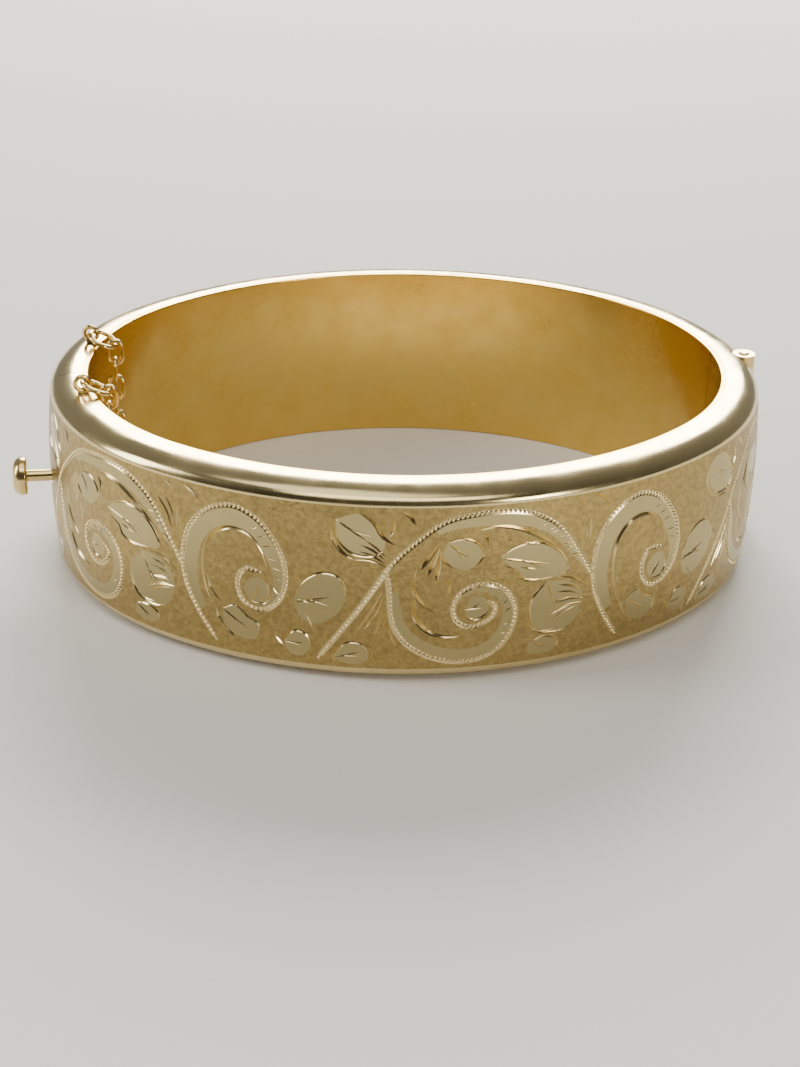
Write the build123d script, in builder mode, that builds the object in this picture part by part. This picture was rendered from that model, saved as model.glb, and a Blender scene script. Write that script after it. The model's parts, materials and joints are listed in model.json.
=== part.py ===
from build123d import *
from math import asin, atan, atan2, cos, degrees, hypot, pi, radians, sin, sqrt
import os

os.makedirs("parts", exist_ok=True)

# A hinged bangle in two oval halves, with a spring catch and a safety chain.
# +X runs along the long axis of the wrist opening, towards the hinge; +Z is up.
# The engraved front half is at -Y and the plain back half is at +Y.
# The origin is the centre of the wrist opening, in the plane of the lower rim.

# Wrist opening, an oval of four arcs
opening_length = 60.0
opening_width = 52.0
end_arc_radius = 23.5

# Band section; depth is measured outwards from the wrist opening
band_height = 18.0
liner_sheet = 0.4
shell_sheet = 0.5
land_depth = 1.05
shoulder_depth = 3.6
shoulder_height = 1.4
crown_depth = 4.0
solder_gap = 0.04
rim_step = 0.02
half_gap = 0.05

# Hinge: tube knuckles on a pin, at the +X end
pin_diameter = 1.0
pin_clearance = 0.05
knuckle_diameter = 2.2
knuckle_count = 5
knuckle_gap = 0.1
hinge_depth = 3.4
hinge_inset = 0.3
seat_clearance = 0.02
swing_clearance = 0.12
bearer_thickness = 2.0

# Catch: a two-leaf spring tongue on the back half, at the -X end
plate_thickness = 0.6
tongue_width = 9.0
tongue_depth = 0.75
base_leaf_sheet = 0.5
tongue_reach = 9.0
tongue_root = 2.0
tongue_lip = 0.4
tongue_lip_length = 0.5
snap_leaf_sheet = 0.4
snap_leaf_width = 8.6
snap_leaf_end_depth = 2.6
snap_leaf_end_gap = 0.2
leaf_gap = 0.05
window_inner_depth = 0.6
window_outer_depth = 2.05
window_side_clearance = 0.2

# Thumb piece: a stem through the front shell with a round knob
stem_diameter = 1.1
stem_reach = 3.0
stem_slot_clearance = 0.2
slot_inner_depth = 1.5
stem_fit = 0.02
knob_diameter = 3.6
knob_thickness = 1.3
knob_depth = 6.2
knob_edge = 0.25
knob_dome = 0.85
stem_seat = 0.5

# Safety chain
eye_wire = 0.45
eye_radius = 0.65
eye_foot_height = 0.2
eye_foot_length = 0.9
eye_foot_width = 0.6
eye_depth = 1.0
front_eye_y = -5.0
back_eye_y = 8.0
ring_wire = 0.45
ring_radius = 1.3
ring_slope = 25.0
link_wire = 0.45
link_length = 2.7
link_width = 1.8
link_clearance = 0.05
link_count = 21

# Shape of the oval: the side arcs meet the end arcs on a common normal
half_length = opening_length / 2
half_width = opening_width / 2
side_arc_radius = ((half_length - end_arc_radius) ** 2 + half_width**2 - end_arc_radius**2) / (
    2 * (half_width - end_arc_radius)
)
end_centre = half_length - end_arc_radius
side_centre = side_arc_radius - half_width
join_angle = degrees(atan2(side_centre, end_centre))
middle = band_height / 2
hinge_x = half_length + hinge_depth

# Arcs of each half as centre x, centre y, arc radius, start angle and sweep
front_arcs = [
    (-end_centre, 0, end_arc_radius, 180, join_angle),
    (0, side_centre, side_arc_radius, 180 + join_angle, 180 - 2 * join_angle),
    (end_centre, 0, end_arc_radius, 360 - join_angle, join_angle),
]
back_arcs = [
    (end_centre, 0, end_arc_radius, 0, join_angle),
    (0, -side_centre, side_arc_radius, join_angle, 180 - 2 * join_angle),
    (-end_centre, 0, end_arc_radius, 180 - join_angle, join_angle),
]
front_end_face = Plane(origin=(0, -half_gap, 0), z_dir=(0, -1, 0))
back_end_face = Plane(origin=(0, half_gap, 0), z_dir=(0, 1, 0))


def section_plane(centre_x, centre_y, angle):
    """An upright plane through an arc's centre, x outwards at the angle and y up."""
    along = (cos(radians(angle)), sin(radians(angle)), 0)
    across = (sin(radians(angle)), -cos(radians(angle)), 0)
    return Plane(origin=(centre_x, centre_y, 0), x_dir=along, z_dir=across)


def dome_outline(radius, inner, inset):
    """The band's closed outline from an inner depth to the outer face less an inset."""
    low = inset
    high = band_height - inset
    land = radius + land_depth
    shoulder = radius + shoulder_depth - inset
    start = radius + inner
    with BuildLine() as outline:
        Line((start, high), (start, low))
        Line((start, low), (land, low))
        EllipticalCenterArc(
            (land, shoulder_height),
            shoulder_depth - land_depth - inset,
            shoulder_height - inset,
            start_angle=270,
            arc_size=90,
        )
        ThreePointArc(
            (shoulder, shoulder_height),
            (radius + crown_depth - inset, middle),
            (shoulder, band_height - shoulder_height),
        )
        EllipticalCenterArc(
            (land, band_height - shoulder_height),
            shoulder_depth - land_depth - inset,
            shoulder_height - inset,
            start_angle=0,
            arc_size=90,
        )
        Line((land, high), (start, high))
    make_face(outline.edges())


def hinge_seats(own_knuckles):
    """Round seats along the hinge axis: close for a half's own knuckles, wide for the others."""
    for index in range(knuckle_count):
        low = knuckle_low(index) - knuckle_gap / 2
        high = knuckle_low(index) + knuckle_length + knuckle_gap / 2
        if index == 0:
            low = -1
        if index == knuckle_count - 1:
            high = band_height + 1
        clearance = seat_clearance if index in own_knuckles else swing_clearance
        with BuildSketch(Plane.XY.offset(low)) as seat:
            with Locations((hinge_x, 0)):
                Circle(knuckle_diameter / 2 + clearance)
        extrude(seat.sketch, amount=high - low, mode=Mode.SUBTRACT)


knuckle_length = (
    band_height - 2 * hinge_inset - (knuckle_count - 1) * knuckle_gap
) / knuckle_count
front_knuckles = [0, 2, 4]
back_knuckles = [1, 3]


def knuckle_low(index):
    return hinge_inset + index * (knuckle_length + knuckle_gap)


def stem_slot():
    """The slot that lets the thumb stem slide out of the front half's end."""
    slot_width = stem_diameter + 2 * stem_slot_clearance
    face = Plane(
        origin=(-half_length - slot_inner_depth, 0, middle), x_dir=(0, 1, 0), z_dir=(-1, 0, 0)
    )
    with BuildSketch(face) as slot:
        with Locations((-stem_reach, 0)):
            Circle(slot_width / 2)
        with Locations((-stem_reach / 2, 0)):
            Rectangle(stem_reach, slot_width)
    extrude(slot.sketch, amount=crown_depth, mode=Mode.SUBTRACT)


# Front half ---------------------------------------------------------------------------------

with BuildPart() as front_shell:
    for centre_x, centre_y, radius, start, turn in front_arcs:
        with BuildSketch(section_plane(centre_x, centre_y, start)):
            dome_outline(radius, liner_sheet + solder_gap, 0)
        revolve(axis=Axis((centre_x, centre_y, 0), (0, 0, 1)), revolution_arc=turn)
    for centre_x, centre_y, radius, start, turn in front_arcs:
        with BuildSketch(section_plane(centre_x, centre_y, start)):
            dome_outline(radius, 0, shell_sheet)
        revolve(
            axis=Axis((centre_x, centre_y, 0), (0, 0, 1)),
            revolution_arc=turn,
            mode=Mode.SUBTRACT,
        )
    split(bisect_by=front_end_face)
    hinge_seats(front_knuckles)
    stem_slot()
front_shell.part.label = "front_shell"

with BuildPart() as back_shell:
    for centre_x, centre_y, radius, start, turn in back_arcs:
        with BuildSketch(section_plane(centre_x, centre_y, start)):
            dome_outline(radius, liner_sheet + solder_gap, 0)
        revolve(axis=Axis((centre_x, centre_y, 0), (0, 0, 1)), revolution_arc=turn)
    for centre_x, centre_y, radius, start, turn in back_arcs:
        with BuildSketch(section_plane(centre_x, centre_y, start)):
            dome_outline(radius, 0, shell_sheet)
        revolve(
            axis=Axis((centre_x, centre_y, 0), (0, 0, 1)),
            revolution_arc=turn,
            mode=Mode.SUBTRACT,
        )
    split(bisect_by=back_end_face)
    hinge_seats(back_knuckles)
back_shell.part.label = "back_shell"

with BuildPart() as front_liner:
    for centre_x, centre_y, radius, start, turn in front_arcs:
        with BuildSketch(section_plane(centre_x, centre_y, start)):
            with Locations((radius + liner_sheet / 2, middle)):
                Rectangle(liner_sheet, band_height - 2 * rim_step)
        revolve(axis=Axis((centre_x, centre_y, 0), (0, 0, 1)), revolution_arc=turn)
    split(bisect_by=front_end_face)
front_liner.part.label = "front_liner"

with BuildPart() as back_liner:
    for centre_x, centre_y, radius, start, turn in back_arcs:
        with BuildSketch(section_plane(centre_x, centre_y, start)):
            with Locations((radius + liner_sheet / 2, middle)):
                Rectangle(liner_sheet, band_height - 2 * rim_step)
        revolve(axis=Axis((centre_x, centre_y, 0), (0, 0, 1)), revolution_arc=turn)
    split(bisect_by=back_end_face)
back_liner.part.label = "back_liner"

# Hinge --------------------------------------------------------------------------------------

bearer_sweep = degrees(bearer_thickness / end_arc_radius)
fill_inner = liner_sheet + solder_gap
fill_inset = shell_sheet + solder_gap

with BuildPart() as front_hinge_bearer:
    with BuildSketch(section_plane(end_centre, 0, 360 - bearer_sweep)):
        dome_outline(end_arc_radius, fill_inner, fill_inset)
    revolve(axis=Axis((end_centre, 0, 0), (0, 0, 1)), revolution_arc=bearer_sweep)
    split(bisect_by=front_end_face)
    hinge_seats(front_knuckles)
front_hinge_bearer.part.label = "front_hinge_bearer"

with BuildPart() as back_hinge_bearer:
    with BuildSketch(section_plane(end_centre, 0, 0)):
        dome_outline(end_arc_radius, fill_inner, fill_inset)
    revolve(axis=Axis((end_centre, 0, 0), (0, 0, 1)), revolution_arc=bearer_sweep)
    split(bisect_by=back_end_face)
    hinge_seats(back_knuckles)
back_hinge_bearer.part.label = "back_hinge_bearer"

knuckles = []
for index in range(knuckle_count):
    with BuildPart() as knuckle:
        with BuildSketch(Plane.XY.offset(knuckle_low(index))):
            with Locations((hinge_x, 0)):
                Circle(knuckle_diameter / 2)
                Circle(pin_diameter / 2 + pin_clearance, mode=Mode.SUBTRACT)
        extrude(amount=knuckle_length)
    knuckle.part.label = ("front" if index in front_knuckles else "back") + f"_knuckle_{index + 1}"
    knuckles.append(knuckle.part)

with BuildPart() as hinge_pin:
    with BuildSketch(Plane.XY.offset(hinge_inset / 2)):
        with Locations((hinge_x, 0)):
            Circle(pin_diameter / 2)
    extrude(amount=band_height - hinge_inset)
    chamfer(hinge_pin.edges(), length=0.1)
hinge_pin.part.label = "hinge_pin"

# Catch --------------------------------------------------------------------------------------

plate_sweep = degrees(3 * plate_thickness / end_arc_radius)
front_plate_back = Plane(origin=(0, -half_gap - plate_thickness, 0), z_dir=(0, 1, 0))
back_plate_back = Plane(origin=(0, half_gap + plate_thickness, 0), z_dir=(0, -1, 0))
window_height = tongue_width + 2 * window_side_clearance

with BuildPart() as front_clasp_plate:
    with BuildSketch(section_plane(-end_centre, 0, 180)):
        dome_outline(end_arc_radius, fill_inner, fill_inset)
    revolve(axis=Axis((-end_centre, 0, 0), (0, 0, 1)), revolution_arc=plate_sweep)
    split(bisect_by=front_end_face)
    split(bisect_by=front_plate_back)
    with BuildSketch(Plane.XZ):
        with Locations((-half_length - (window_inner_depth + window_outer_depth) / 2, middle)):
            Rectangle(window_outer_depth - window_inner_depth, window_height)
    extrude(amount=2 * plate_thickness, both=True, mode=Mode.SUBTRACT)
    stem_slot()
front_clasp_plate.part.label = "front_clasp_plate"

leaf_inner_radius = hinge_x + half_length + tongue_depth
leaf_outer_radius = leaf_inner_radius + base_leaf_sheet
root_angle = degrees(asin(tongue_root / leaf_inner_radius))
reach_angle = degrees(asin(tongue_reach / leaf_inner_radius))
lip_angle = degrees(tongue_lip_length / leaf_inner_radius)

with BuildPart() as back_clasp_plate:
    with BuildSketch(section_plane(-end_centre, 0, 180 - plate_sweep)):
        dome_outline(end_arc_radius, fill_inner, fill_inset)
    revolve(axis=Axis((-end_centre, 0, 0), (0, 0, 1)), revolution_arc=plate_sweep)
    split(bisect_by=back_end_face)
    split(bisect_by=back_plate_back)
    with BuildSketch(Plane.XZ):
        with Locations((-half_length - tongue_depth - base_leaf_sheet / 2, middle)):
            Rectangle(base_leaf_sheet + 2 * solder_gap, tongue_width + 2 * solder_gap)
    extrude(amount=2 * plate_thickness, both=True, mode=Mode.SUBTRACT)
back_clasp_plate.part.label = "back_clasp_plate"

with BuildPart() as tongue_base:
    with BuildSketch(section_plane(hinge_x, 0, 180 - root_angle)):
        with Locations((leaf_inner_radius + base_leaf_sheet / 2, middle)):
            Rectangle(base_leaf_sheet, tongue_width)
    revolve(axis=Axis((hinge_x, 0, 0), (0, 0, 1)), revolution_arc=root_angle + reach_angle)
    with BuildSketch(section_plane(hinge_x, 0, 180 + reach_angle)):
        with Locations((leaf_inner_radius + (base_leaf_sheet + tongue_lip) / 2, middle)):
            Rectangle(base_leaf_sheet + tongue_lip, tongue_width)
    revolve(axis=Axis((hinge_x, 0, 0), (0, 0, 1)), revolution_arc=lip_angle)
tongue_base.part.label = "tongue_base"

# The free leaf runs straight from the tongue's lip to just behind the front clasp plate
leaf_root_y = -tongue_reach + leaf_gap + snap_leaf_sheet / 2
leaf_root_x = hinge_x - sqrt(leaf_outer_radius**2 - leaf_root_y**2) - leaf_gap - snap_leaf_sheet / 2
leaf_end_y = -half_gap - plate_thickness - snap_leaf_end_gap
leaf_end_x = -end_centre - end_arc_radius - snap_leaf_end_depth
leaf_length = hypot(leaf_end_x - leaf_root_x, leaf_end_y - leaf_root_y)
leaf_slope = degrees(atan2(leaf_end_y - leaf_root_y, leaf_end_x - leaf_root_x))
stem_y = -stem_reach
leaf_share = (stem_y - leaf_root_y) / (leaf_end_y - leaf_root_y)
stem_root_x = leaf_root_x + leaf_share * (leaf_end_x - leaf_root_x)
knob_inner_x = -end_centre - sqrt((end_arc_radius + knob_depth) ** 2 - stem_y**2)
leaf_half_width = snap_leaf_sheet / 2 / sin(radians(leaf_slope))
stem_tail_x = stem_root_x + leaf_half_width
stem_plane = Plane(origin=(stem_tail_x, stem_y, middle), z_dir=(-1, 0, 0))
stem_length = stem_tail_x - knob_inner_x + stem_seat

with BuildPart() as snap_leaf:
    with BuildSketch(Plane.XY.offset(middle - snap_leaf_width / 2)):
        with Locations(
            Location(
                ((leaf_root_x + leaf_end_x) / 2, (leaf_root_y + leaf_end_y) / 2, 0), leaf_slope
            )
        ):
            Rectangle(leaf_length, snap_leaf_sheet)
        with Locations((leaf_root_x, leaf_root_y)):
            Circle(snap_leaf_sheet / 2)
    extrude(amount=snap_leaf_width)
    with BuildSketch(stem_plane):
        Circle(stem_diameter / 2 + stem_fit)
    extrude(amount=4 * snap_leaf_sheet, both=True, mode=Mode.SUBTRACT)
snap_leaf.part.label = "snap_leaf"

with BuildPart() as push_stem:
    with BuildSketch(stem_plane):
        Circle(stem_diameter / 2)
    extrude(amount=stem_length)
push_stem.part.label = "push_stem"

with BuildPart() as push_knob:
    with BuildSketch(Plane(origin=(knob_inner_x, stem_y, middle), z_dir=(-1, 0, 0))):
        Circle(knob_diameter / 2)
    extrude(amount=knob_thickness)
    fillet(push_knob.edges().sort_by(Axis.X)[-1], radius=knob_edge)
    fillet(push_knob.edges().sort_by(Axis.X)[0], radius=knob_dome)
    with BuildSketch(Plane(origin=(knob_inner_x, stem_y, middle), z_dir=(-1, 0, 0))):
        Circle(stem_diameter / 2 + stem_fit)
    extrude(amount=stem_seat + stem_fit, mode=Mode.SUBTRACT)
push_knob.part.label = "push_knob"

# Safety chain -------------------------------------------------------------------------------

eye_rise = band_height + rim_step + eye_foot_height + eye_radius
front_eye_angle = 180 + degrees(asin(-front_eye_y / (end_arc_radius + eye_depth)))
back_eye_angle = 180 - degrees(asin(back_eye_y / (end_arc_radius + eye_depth)))


def rim_point(angle, depth, height):
    """A point at a depth from the opening, at an angle on the clasp end's arc."""
    reach = end_arc_radius + depth
    return Vector(
        -end_centre + reach * cos(radians(angle)), reach * sin(radians(angle)), height
    )


def eye_ring(angle):
    """An upright wire eye on a small foot, its hole facing along the rim."""
    centre = rim_point(angle, eye_depth, eye_rise)
    outwards = Vector(cos(radians(angle)), sin(radians(angle)), 0)
    along = Vector(-sin(radians(angle)), cos(radians(angle)), 0)
    foot = rim_point(angle, eye_depth, band_height + rim_step)
    with BuildSketch(
        Plane(origin=centre + outwards * eye_radius, x_dir=outwards, z_dir=(0, 0, 1))
    ) as wire:
        Circle(eye_wire / 2)
    revolve(wire.sketch, axis=Axis(centre, along), revolution_arc=360)
    with BuildSketch(Plane(origin=foot, x_dir=outwards, z_dir=(0, 0, 1))) as pad:
        Rectangle(eye_foot_length, eye_foot_width)
    extrude(pad.sketch, amount=eye_foot_height)


def jump_ring(angle):
    """A round ring through an eye, sloping inwards over the rim."""
    inwards = Vector(-cos(radians(angle)), -sin(radians(angle)), 0)
    along = Vector(-sin(radians(angle)), cos(radians(angle)), 0)
    slope = inwards * cos(radians(ring_slope)) + Vector(0, 0, -sin(radians(ring_slope)))
    eye = rim_point(angle, eye_depth, eye_rise)
    centre = eye + slope * ring_radius
    with BuildSketch(Plane(origin=eye, x_dir=slope, z_dir=along)) as wire:
        Circle(ring_wire / 2)
    revolve(wire.sketch, axis=Axis(centre, slope.cross(along)), revolution_arc=360)


def ring_low_point(angle):
    """Where the end link's bend hangs on the inner side of a jump ring."""
    inner = eye_depth - 2 * ring_radius * cos(radians(ring_slope))
    drop = 2 * ring_radius * sin(radians(ring_slope))
    return rim_point(angle, inner, eye_rise - drop + (ring_wire + link_wire) / 2 + link_clearance)


def hanging_width(sag, spans):
    """How far apart the ends of the hanging chain are when its links follow a catenary."""
    total = sum(spans)
    width = 0
    run = -total / 2
    for span in spans:
        width = width + span * cos(atan((run + span / 2) / sag))
        run = run + span
    return width


with BuildPart() as front_eye:
    eye_ring(front_eye_angle)
front_eye.part.label = "front_eye"

with BuildPart() as back_eye:
    eye_ring(back_eye_angle)
back_eye.part.label = "back_eye"

with BuildPart() as front_jump_ring:
    jump_ring(front_eye_angle)
front_jump_ring.part.label = "front_jump_ring"

with BuildPart() as back_jump_ring:
    jump_ring(back_eye_angle)
back_jump_ring.part.label = "back_jump_ring"

# Links hang in the upright plane between the two rings, every second one turned a quarter
chain_start = ring_low_point(front_eye_angle)
chain_end = ring_low_point(back_eye_angle)
chain_across = chain_end - chain_start
chain_level = Vector(chain_across.X, chain_across.Y, 0).normalized()
chain_normal = Vector(chain_level.Y, -chain_level.X, 0)
chain_up = Vector(0, 0, 1)
long_span = link_length - link_wire
short_span = long_span - 2 * (link_wire + link_clearance)
spans = [long_span if number % 2 == 0 else short_span for number in range(link_count)]

low_sag = 0.01
high_sag = 1000.0
for attempt in range(60):
    sag = sqrt(low_sag * high_sag)
    if hanging_width(sag, spans) < hypot(chain_across.X, chain_across.Y):
        low_sag = sag
    else:
        high_sag = sag

chain_links = []
pivot = chain_start
run = -sum(spans) / 2
for number, span in enumerate(spans):
    lean = atan((run + span / 2) / sag)
    direction = chain_level * cos(lean) + chain_up * sin(lean)
    upright = chain_up * cos(lean) - chain_level * sin(lean)
    if number % 2 == 0:
        link_plane = Plane(
            origin=pivot + direction * (span / 2), x_dir=direction, z_dir=upright
        )
    else:
        link_plane = Plane(
            origin=pivot + direction * (span / 2), x_dir=direction, z_dir=chain_normal
        )
    with BuildPart() as link:
        with BuildLine(link_plane) as link_path:
            Polyline(
                (long_span / 2 - (link_width - link_wire) / 2, (link_width - link_wire) / 2),
                (-long_span / 2 + (link_width - link_wire) / 2, (link_width - link_wire) / 2),
            )
            Polyline(
                (long_span / 2 - (link_width - link_wire) / 2, -(link_width - link_wire) / 2),
                (-long_span / 2 + (link_width - link_wire) / 2, -(link_width - link_wire) / 2),
            )
            CenterArc(
                (long_span / 2 - (link_width - link_wire) / 2, 0),
                (link_width - link_wire) / 2,
                -90,
                180,
            )
            CenterArc(
                (-long_span / 2 + (link_width - link_wire) / 2, 0),
                (link_width - link_wire) / 2,
                90,
                180,
            )
        with BuildSketch(
            Plane(
                origin=link_path.wires()[0] @ 0,
                z_dir=link_path.wires()[0] % 0,
            )
        ):
            Circle(link_wire / 2)
        sweep()
    link.part.label = f"chain_link_{number + 1:02d}"
    chain_links.append(link.part)
    pivot = pivot + direction * span
    run = run + span

# Export -------------------------------------------------------------------------------------

for piece in [
    front_shell.part,
    back_shell.part,
    front_liner.part,
    back_liner.part,
    front_hinge_bearer.part,
    back_hinge_bearer.part,
    hinge_pin.part,
    front_clasp_plate.part,
    back_clasp_plate.part,
    tongue_base.part,
    snap_leaf.part,
    push_stem.part,
    push_knob.part,
    front_eye.part,
    back_eye.part,
    front_jump_ring.part,
    back_jump_ring.part,
    *knuckles,
    *chain_links,
]:
    export_step(piece, f"parts/{piece.label}.step")
    print(piece.label, len(piece.solids()), round(piece.volume, 3), piece.is_valid)
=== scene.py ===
import json
import math

import bmesh
import bpy
import numpy as np
from mathutils import Matrix, Vector, geometry


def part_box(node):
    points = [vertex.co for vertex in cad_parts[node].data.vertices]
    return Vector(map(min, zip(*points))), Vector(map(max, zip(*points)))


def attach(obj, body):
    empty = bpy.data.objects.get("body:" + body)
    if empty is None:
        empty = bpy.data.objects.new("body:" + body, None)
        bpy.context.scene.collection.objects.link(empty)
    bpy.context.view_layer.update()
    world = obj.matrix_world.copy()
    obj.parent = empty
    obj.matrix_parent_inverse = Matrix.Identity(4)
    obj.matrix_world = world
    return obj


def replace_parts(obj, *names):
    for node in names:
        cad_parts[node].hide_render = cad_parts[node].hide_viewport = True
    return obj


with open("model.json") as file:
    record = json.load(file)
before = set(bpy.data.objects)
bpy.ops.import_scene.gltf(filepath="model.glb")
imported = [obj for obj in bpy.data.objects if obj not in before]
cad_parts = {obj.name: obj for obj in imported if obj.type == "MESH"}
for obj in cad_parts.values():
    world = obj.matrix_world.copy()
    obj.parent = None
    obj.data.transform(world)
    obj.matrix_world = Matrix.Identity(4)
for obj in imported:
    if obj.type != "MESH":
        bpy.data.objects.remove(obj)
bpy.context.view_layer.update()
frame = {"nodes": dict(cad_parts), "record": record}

# Lengths in this script are millimetres until a mesh is made; MM turns them to metres.
MM = 0.001

# Sizes of the band, the same as the CAD part's
LINER_SHEET = 0.4
SOLDER_GAP = 0.04
SHELL_SHEET = 0.5
LAND_DEPTH = 1.05
SHOULDER_DEPTH = 3.6
SHOULDER_HEIGHT = 1.4
CROWN_DEPTH = 4.0
END_ARC_RADIUS = 23.5
HALF_GAP = 0.05
HINGE_DEPTH = 3.4
SEAT_RADIUS = 1.22
SLOT_WIDTH = 1.5
STEM_REACH = 3.0
RIM_STEP = 0.02
LINK_LENGTH = 2.7
LINK_WIDTH = 1.8
LINK_WIRE = 0.45

# Fineness of the meshes: columns along a half, rows up its face, steps round a shoulder
COLUMNS = 135
FACE_ROWS = 11
SHOULDER_STEPS = 9
RIM_ROUNDING = 0.12
RIM_STEPS = 5
SLOT_STEPS = 13
# A half's end is stretched or shortened over this run, so that the pattern beyond stays put
END_STRETCH = 3.0
# Both end faces of the front half look along +Y; the back half mirrors them
END_FACING = np.array((0.0, 1.0, 0.0))

# Sizes read from the frame
HALF_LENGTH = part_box("front_liner")[1].x / MM - LINER_SHEET
HALF_WIDTH = -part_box("front_liner")[0].y / MM - LINER_SHEET
BAND_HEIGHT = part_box("front_shell")[1].z / MM
MIDDLE = BAND_HEIGHT / 2

# Four-arc oval of the wrist opening
END_CENTRE = HALF_LENGTH - END_ARC_RADIUS
SIDE_RADIUS = (END_CENTRE**2 + HALF_WIDTH**2 - END_ARC_RADIUS**2) / (
    2 * (HALF_WIDTH - END_ARC_RADIUS)
)
SIDE_CENTRE = SIDE_RADIUS - HALF_WIDTH
JOIN_ANGLE = math.atan2(SIDE_CENTRE, END_CENTRE)
END_RUN = (END_ARC_RADIUS + CROWN_DEPTH) * JOIN_ANGLE
SIDE_RUN = (SIDE_RADIUS + CROWN_DEPTH) * (math.pi - 2 * JOIN_ANGLE)
HALF_RUN = 2 * END_RUN + SIDE_RUN


def oval(along):
    """Centre, radius and normal angle of the front half's arc at a distance along its crown
    from the clasp end."""
    along = np.asarray(along, float)
    first = along < END_RUN
    last = along > END_RUN + SIDE_RUN
    angle = math.pi + JOIN_ANGLE + (along - END_RUN) / (SIDE_RADIUS + CROWN_DEPTH)
    angle = np.where(first, math.pi + along / (END_ARC_RADIUS + CROWN_DEPTH), angle)
    beyond = (along - END_RUN - SIDE_RUN) / (END_ARC_RADIUS + CROWN_DEPTH)
    angle = np.where(last, 2 * math.pi - JOIN_ANGLE + beyond, angle)
    centre_x = np.where(first, -END_CENTRE, np.where(last, END_CENTRE, 0.0))
    centre_y = np.where(first | last, 0.0, SIDE_CENTRE)
    radius = np.where(first | last, END_ARC_RADIUS, SIDE_RADIUS)
    return centre_x, centre_y, radius, angle


def band_points(along, depth, height):
    """Points of the front half at distances along it, depths out from the wrist and heights."""
    centre_x, centre_y, radius, angle = oval(along)
    reach = radius + depth
    height = np.broadcast_to(height, angle.shape)
    return np.stack(
        [centre_x + reach * np.cos(angle), centre_y + reach * np.sin(angle), height], -1
    )


def band_normals(along, out, up):
    """Unit normals with an outward and an upward share."""
    angle = oval(along)[3]
    up = np.broadcast_to(up, angle.shape)
    return np.stack([out * np.cos(angle), out * np.sin(angle), up], -1)


def dome_depth(height):
    """Depth of the outer face at a height, an arc that is highest half way up."""
    half = MIDDLE - SHOULDER_HEIGHT
    rise = CROWN_DEPTH - SHOULDER_DEPTH
    radius = (half**2 + rise**2) / (2 * rise)
    return CROWN_DEPTH - radius + np.sqrt(radius**2 - (np.asarray(height) - MIDDLE) ** 2)


def dome_slope(height):
    """Upward share of the outer face's normal."""
    half = MIDDLE - SHOULDER_HEIGHT
    rise = CROWN_DEPTH - SHOULDER_DEPTH
    radius = (half**2 + rise**2) / (2 * rise)
    return (np.asarray(height) - MIDDLE) / radius


def fit_ends(along, depth):
    """Ends of a half's face: level with the joint, and round the hinge's seat at the other end."""
    along = np.asarray(along, float)
    depth = np.broadcast_to(depth, along.shape)
    scale = (END_ARC_RADIUS + CROWN_DEPTH) / (END_ARC_RADIUS + depth)
    near = np.abs(depth - HINGE_DEPTH) < SEAT_RADIUS
    notch = np.sqrt(np.maximum(SEAT_RADIUS**2 - (depth - HINGE_DEPTH) ** 2, HALF_GAP**2))
    cut = np.where(near, notch, HALF_GAP) * scale
    start = HALF_RUN - END_STRETCH
    share = np.clip((along - start) / END_STRETCH, 0, 1)
    along = np.where(along > start, start + share * (END_STRETCH - cut), along)
    share = np.clip(along / END_STRETCH, 0, 1)
    return np.where(along < END_STRETCH, HALF_GAP * scale * (1 - share) + along, along)


# Engraving --------------------------------------------------------------------------------
# A cut is a centre line with a width that tapers; places are along the crown and up the band.

FACE_LOW = SHOULDER_HEIGHT
FACE_HIGH = BAND_HEIGHT - SHOULDER_HEIGHT
CUT_SLOPE = 1.0
LEAST_CUT = 0.002
VINE_WIDTH = 0.5
VINE_DEPTH = 0.09
BEAD_PITCH = 0.41
BEAD_SIZE = (0.29, 0.56, 0.24)
BEAD_LEAN = -28
# Run of the three motifs together, where the first one starts, and how often they come
MOTIF_RUN = 36.5
FIRST_MOTIF = -5.5
MOTIFS = 4
# Clear margins that the engraving keeps from the ends, the rims and the thumb stem's slot
CLASP_MARGIN = 0.9
HINGE_MARGIN = 3.2
RIM_MARGIN = 0.1
SLOT_MARGIN = (4.3, 1.3)
# Facets of a cut are shaded as one where the cosine between them is over this
SAME_FACET = 0.8


def smooth_line(points, step):
    """A smooth line through the points, with its own points a step apart."""
    points = np.array(points, float)
    if len(points) == 2:
        count = max(3, int(math.hypot(*(points[1] - points[0])) / step) + 1)
        return points[0] + (points[1] - points[0]) * np.linspace(0, 1, count)[:, None]
    ends = [2 * points[0] - points[1], *points, 2 * points[-1] - points[-2]]
    line = [points[0]]
    for a, b, c, d in zip(ends, ends[1:], ends[2:], ends[3:]):
        count = max(2, int(math.hypot(*(c - b)) / step) + 1)
        for t in np.linspace(0, 1, count)[1:]:
            line.append(
                0.5
                * (
                    2 * b
                    + (c - a) * t
                    + (2 * a - 5 * b + 4 * c - d) * t**2
                    + (3 * b - a - 3 * c + d) * t**3
                )
            )
    return np.array(line)


def taper(line, width, peak):
    """Half width along a cut: nothing at both ends, and widest at its peak."""
    run = np.concatenate([[0], np.cumsum(np.hypot(*np.diff(line, axis=0).T))])
    t = run / run[-1]
    rise = np.where(t < peak, t / peak, (1 - t) / (1 - peak))
    return 0.5 * width * np.sin(rise * math.pi / 2) ** 0.8


def graver_cut(points, width, peak=0.5, step=0.45):
    """One cut of the graver, widest at its peak, as a centre line and its half widths."""
    line = smooth_line(points, step)
    return line, taper(line, width, peak)


def channel(points, width):
    """The shallow channel that a beaded vine lies in, the same width all along."""
    line = smooth_line(points, 0.4)
    half = np.full(len(line), width / 2)
    half[0] = half[-1] = 0
    return line, half


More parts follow.
